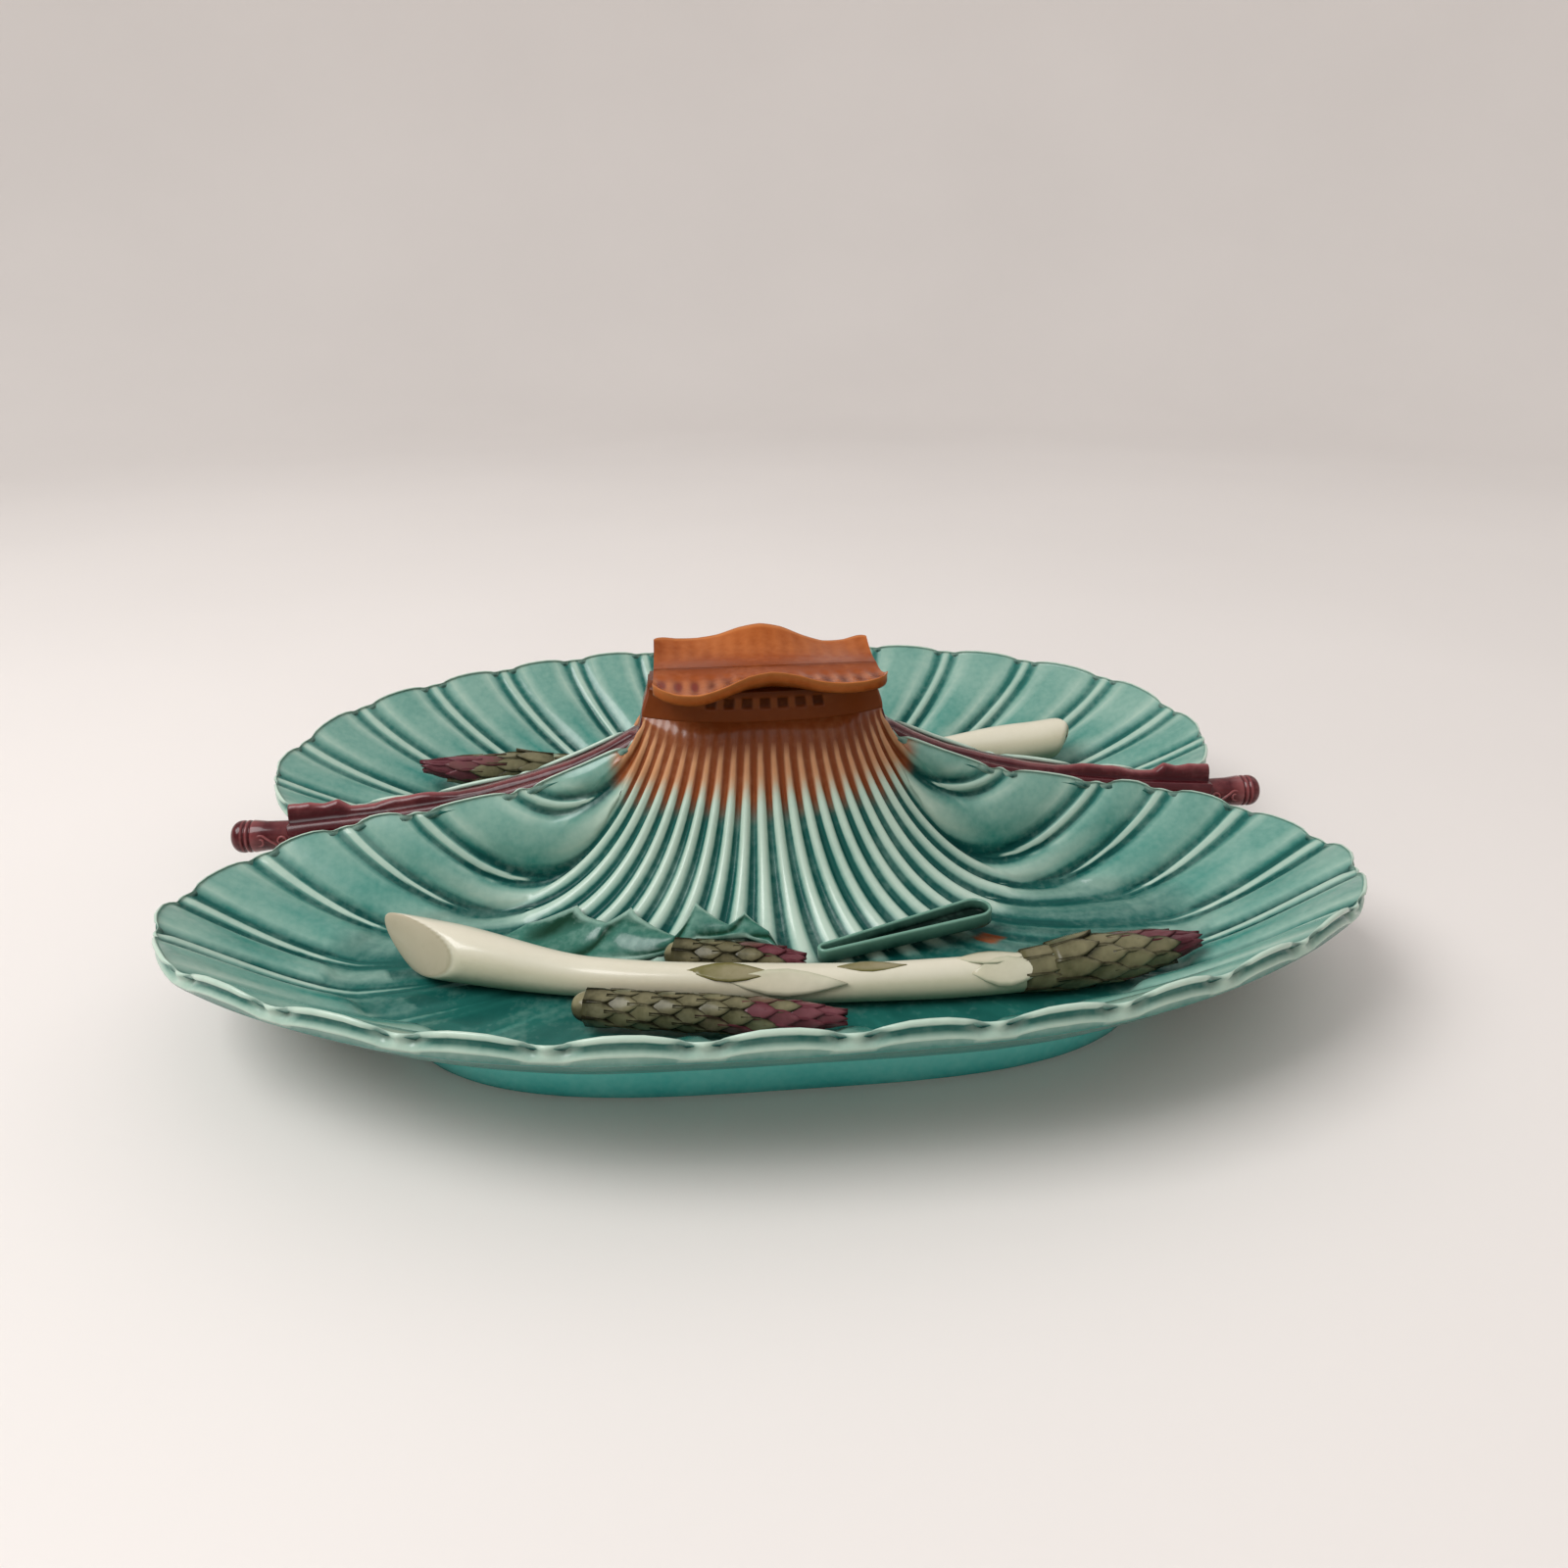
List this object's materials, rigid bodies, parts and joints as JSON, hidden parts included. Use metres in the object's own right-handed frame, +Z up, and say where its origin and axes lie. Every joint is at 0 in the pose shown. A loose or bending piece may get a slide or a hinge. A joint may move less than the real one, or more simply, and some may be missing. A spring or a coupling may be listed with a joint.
{
  "type": "asparagus plate",
  "caption": "Double scallop-shell asparagus plate of glazed earthenware on a low foot ring, with a scroll handle, a maroon ridge and moulded asparagus sprigs.",
  "frame": {"origin": "on the table under the middle of the plate, halfway between the two shells", "axes": "+X along the ridge towards the plate's right end as pictured, +Z up; the front shell is on the -Y side"},
  "size_m": [0.3616, 0.298, 0.094],
  "materials": {
    "turquoise_glaze": "glossy lead glaze, pale on the ribs and dark where it pools in the grooves",
    "teal_foot_glaze": "glossy lead glaze, darker towards the table",
    "amber_brown_glaze": "glossy amber to brown glaze, pale on worn edges",
    "maroon_glaze": "glossy dark red glaze, pink on the crests",
    "ivory_glaze": "glossy cream glaze with olive touches, scales khaki to purple at the head",
    "khaki_glaze": "glossy khaki glaze turning purple at the tip",
    "leaf_green_glaze": "glossy dark green glaze with a pale spiked edge",
    "stalk_green_glaze": "glossy green glaze, near black inside"
  },
  "bodies": {
    "root": {"front_shell": "turquoise_glaze", "rear_shell": "turquoise_glaze", "foot_ring": "teal_foot_glaze", "handle_block": "amber_brown_glaze", "front_lip": "amber_brown_glaze", "rear_lip": "amber_brown_glaze", "left_ridge_band": "maroon_glaze", "right_ridge_band": "maroon_glaze", "left_end_knob": "maroon_glaze", "right_end_knob": "maroon_glaze", "front_long_spear": "ivory_glaze", "front_back_spear": "khaki_glaze", "front_low_spear": "khaki_glaze", "front_leaf": "leaf_green_glaze", "front_stalk": "stalk_green_glaze", "rear_long_spear": "ivory_glaze", "rear_back_spear": "khaki_glaze", "rear_low_spear": "khaki_glaze", "rear_leaf": "leaf_green_glaze", "rear_stalk": "stalk_green_glaze"}
  },
  "joints": []
}
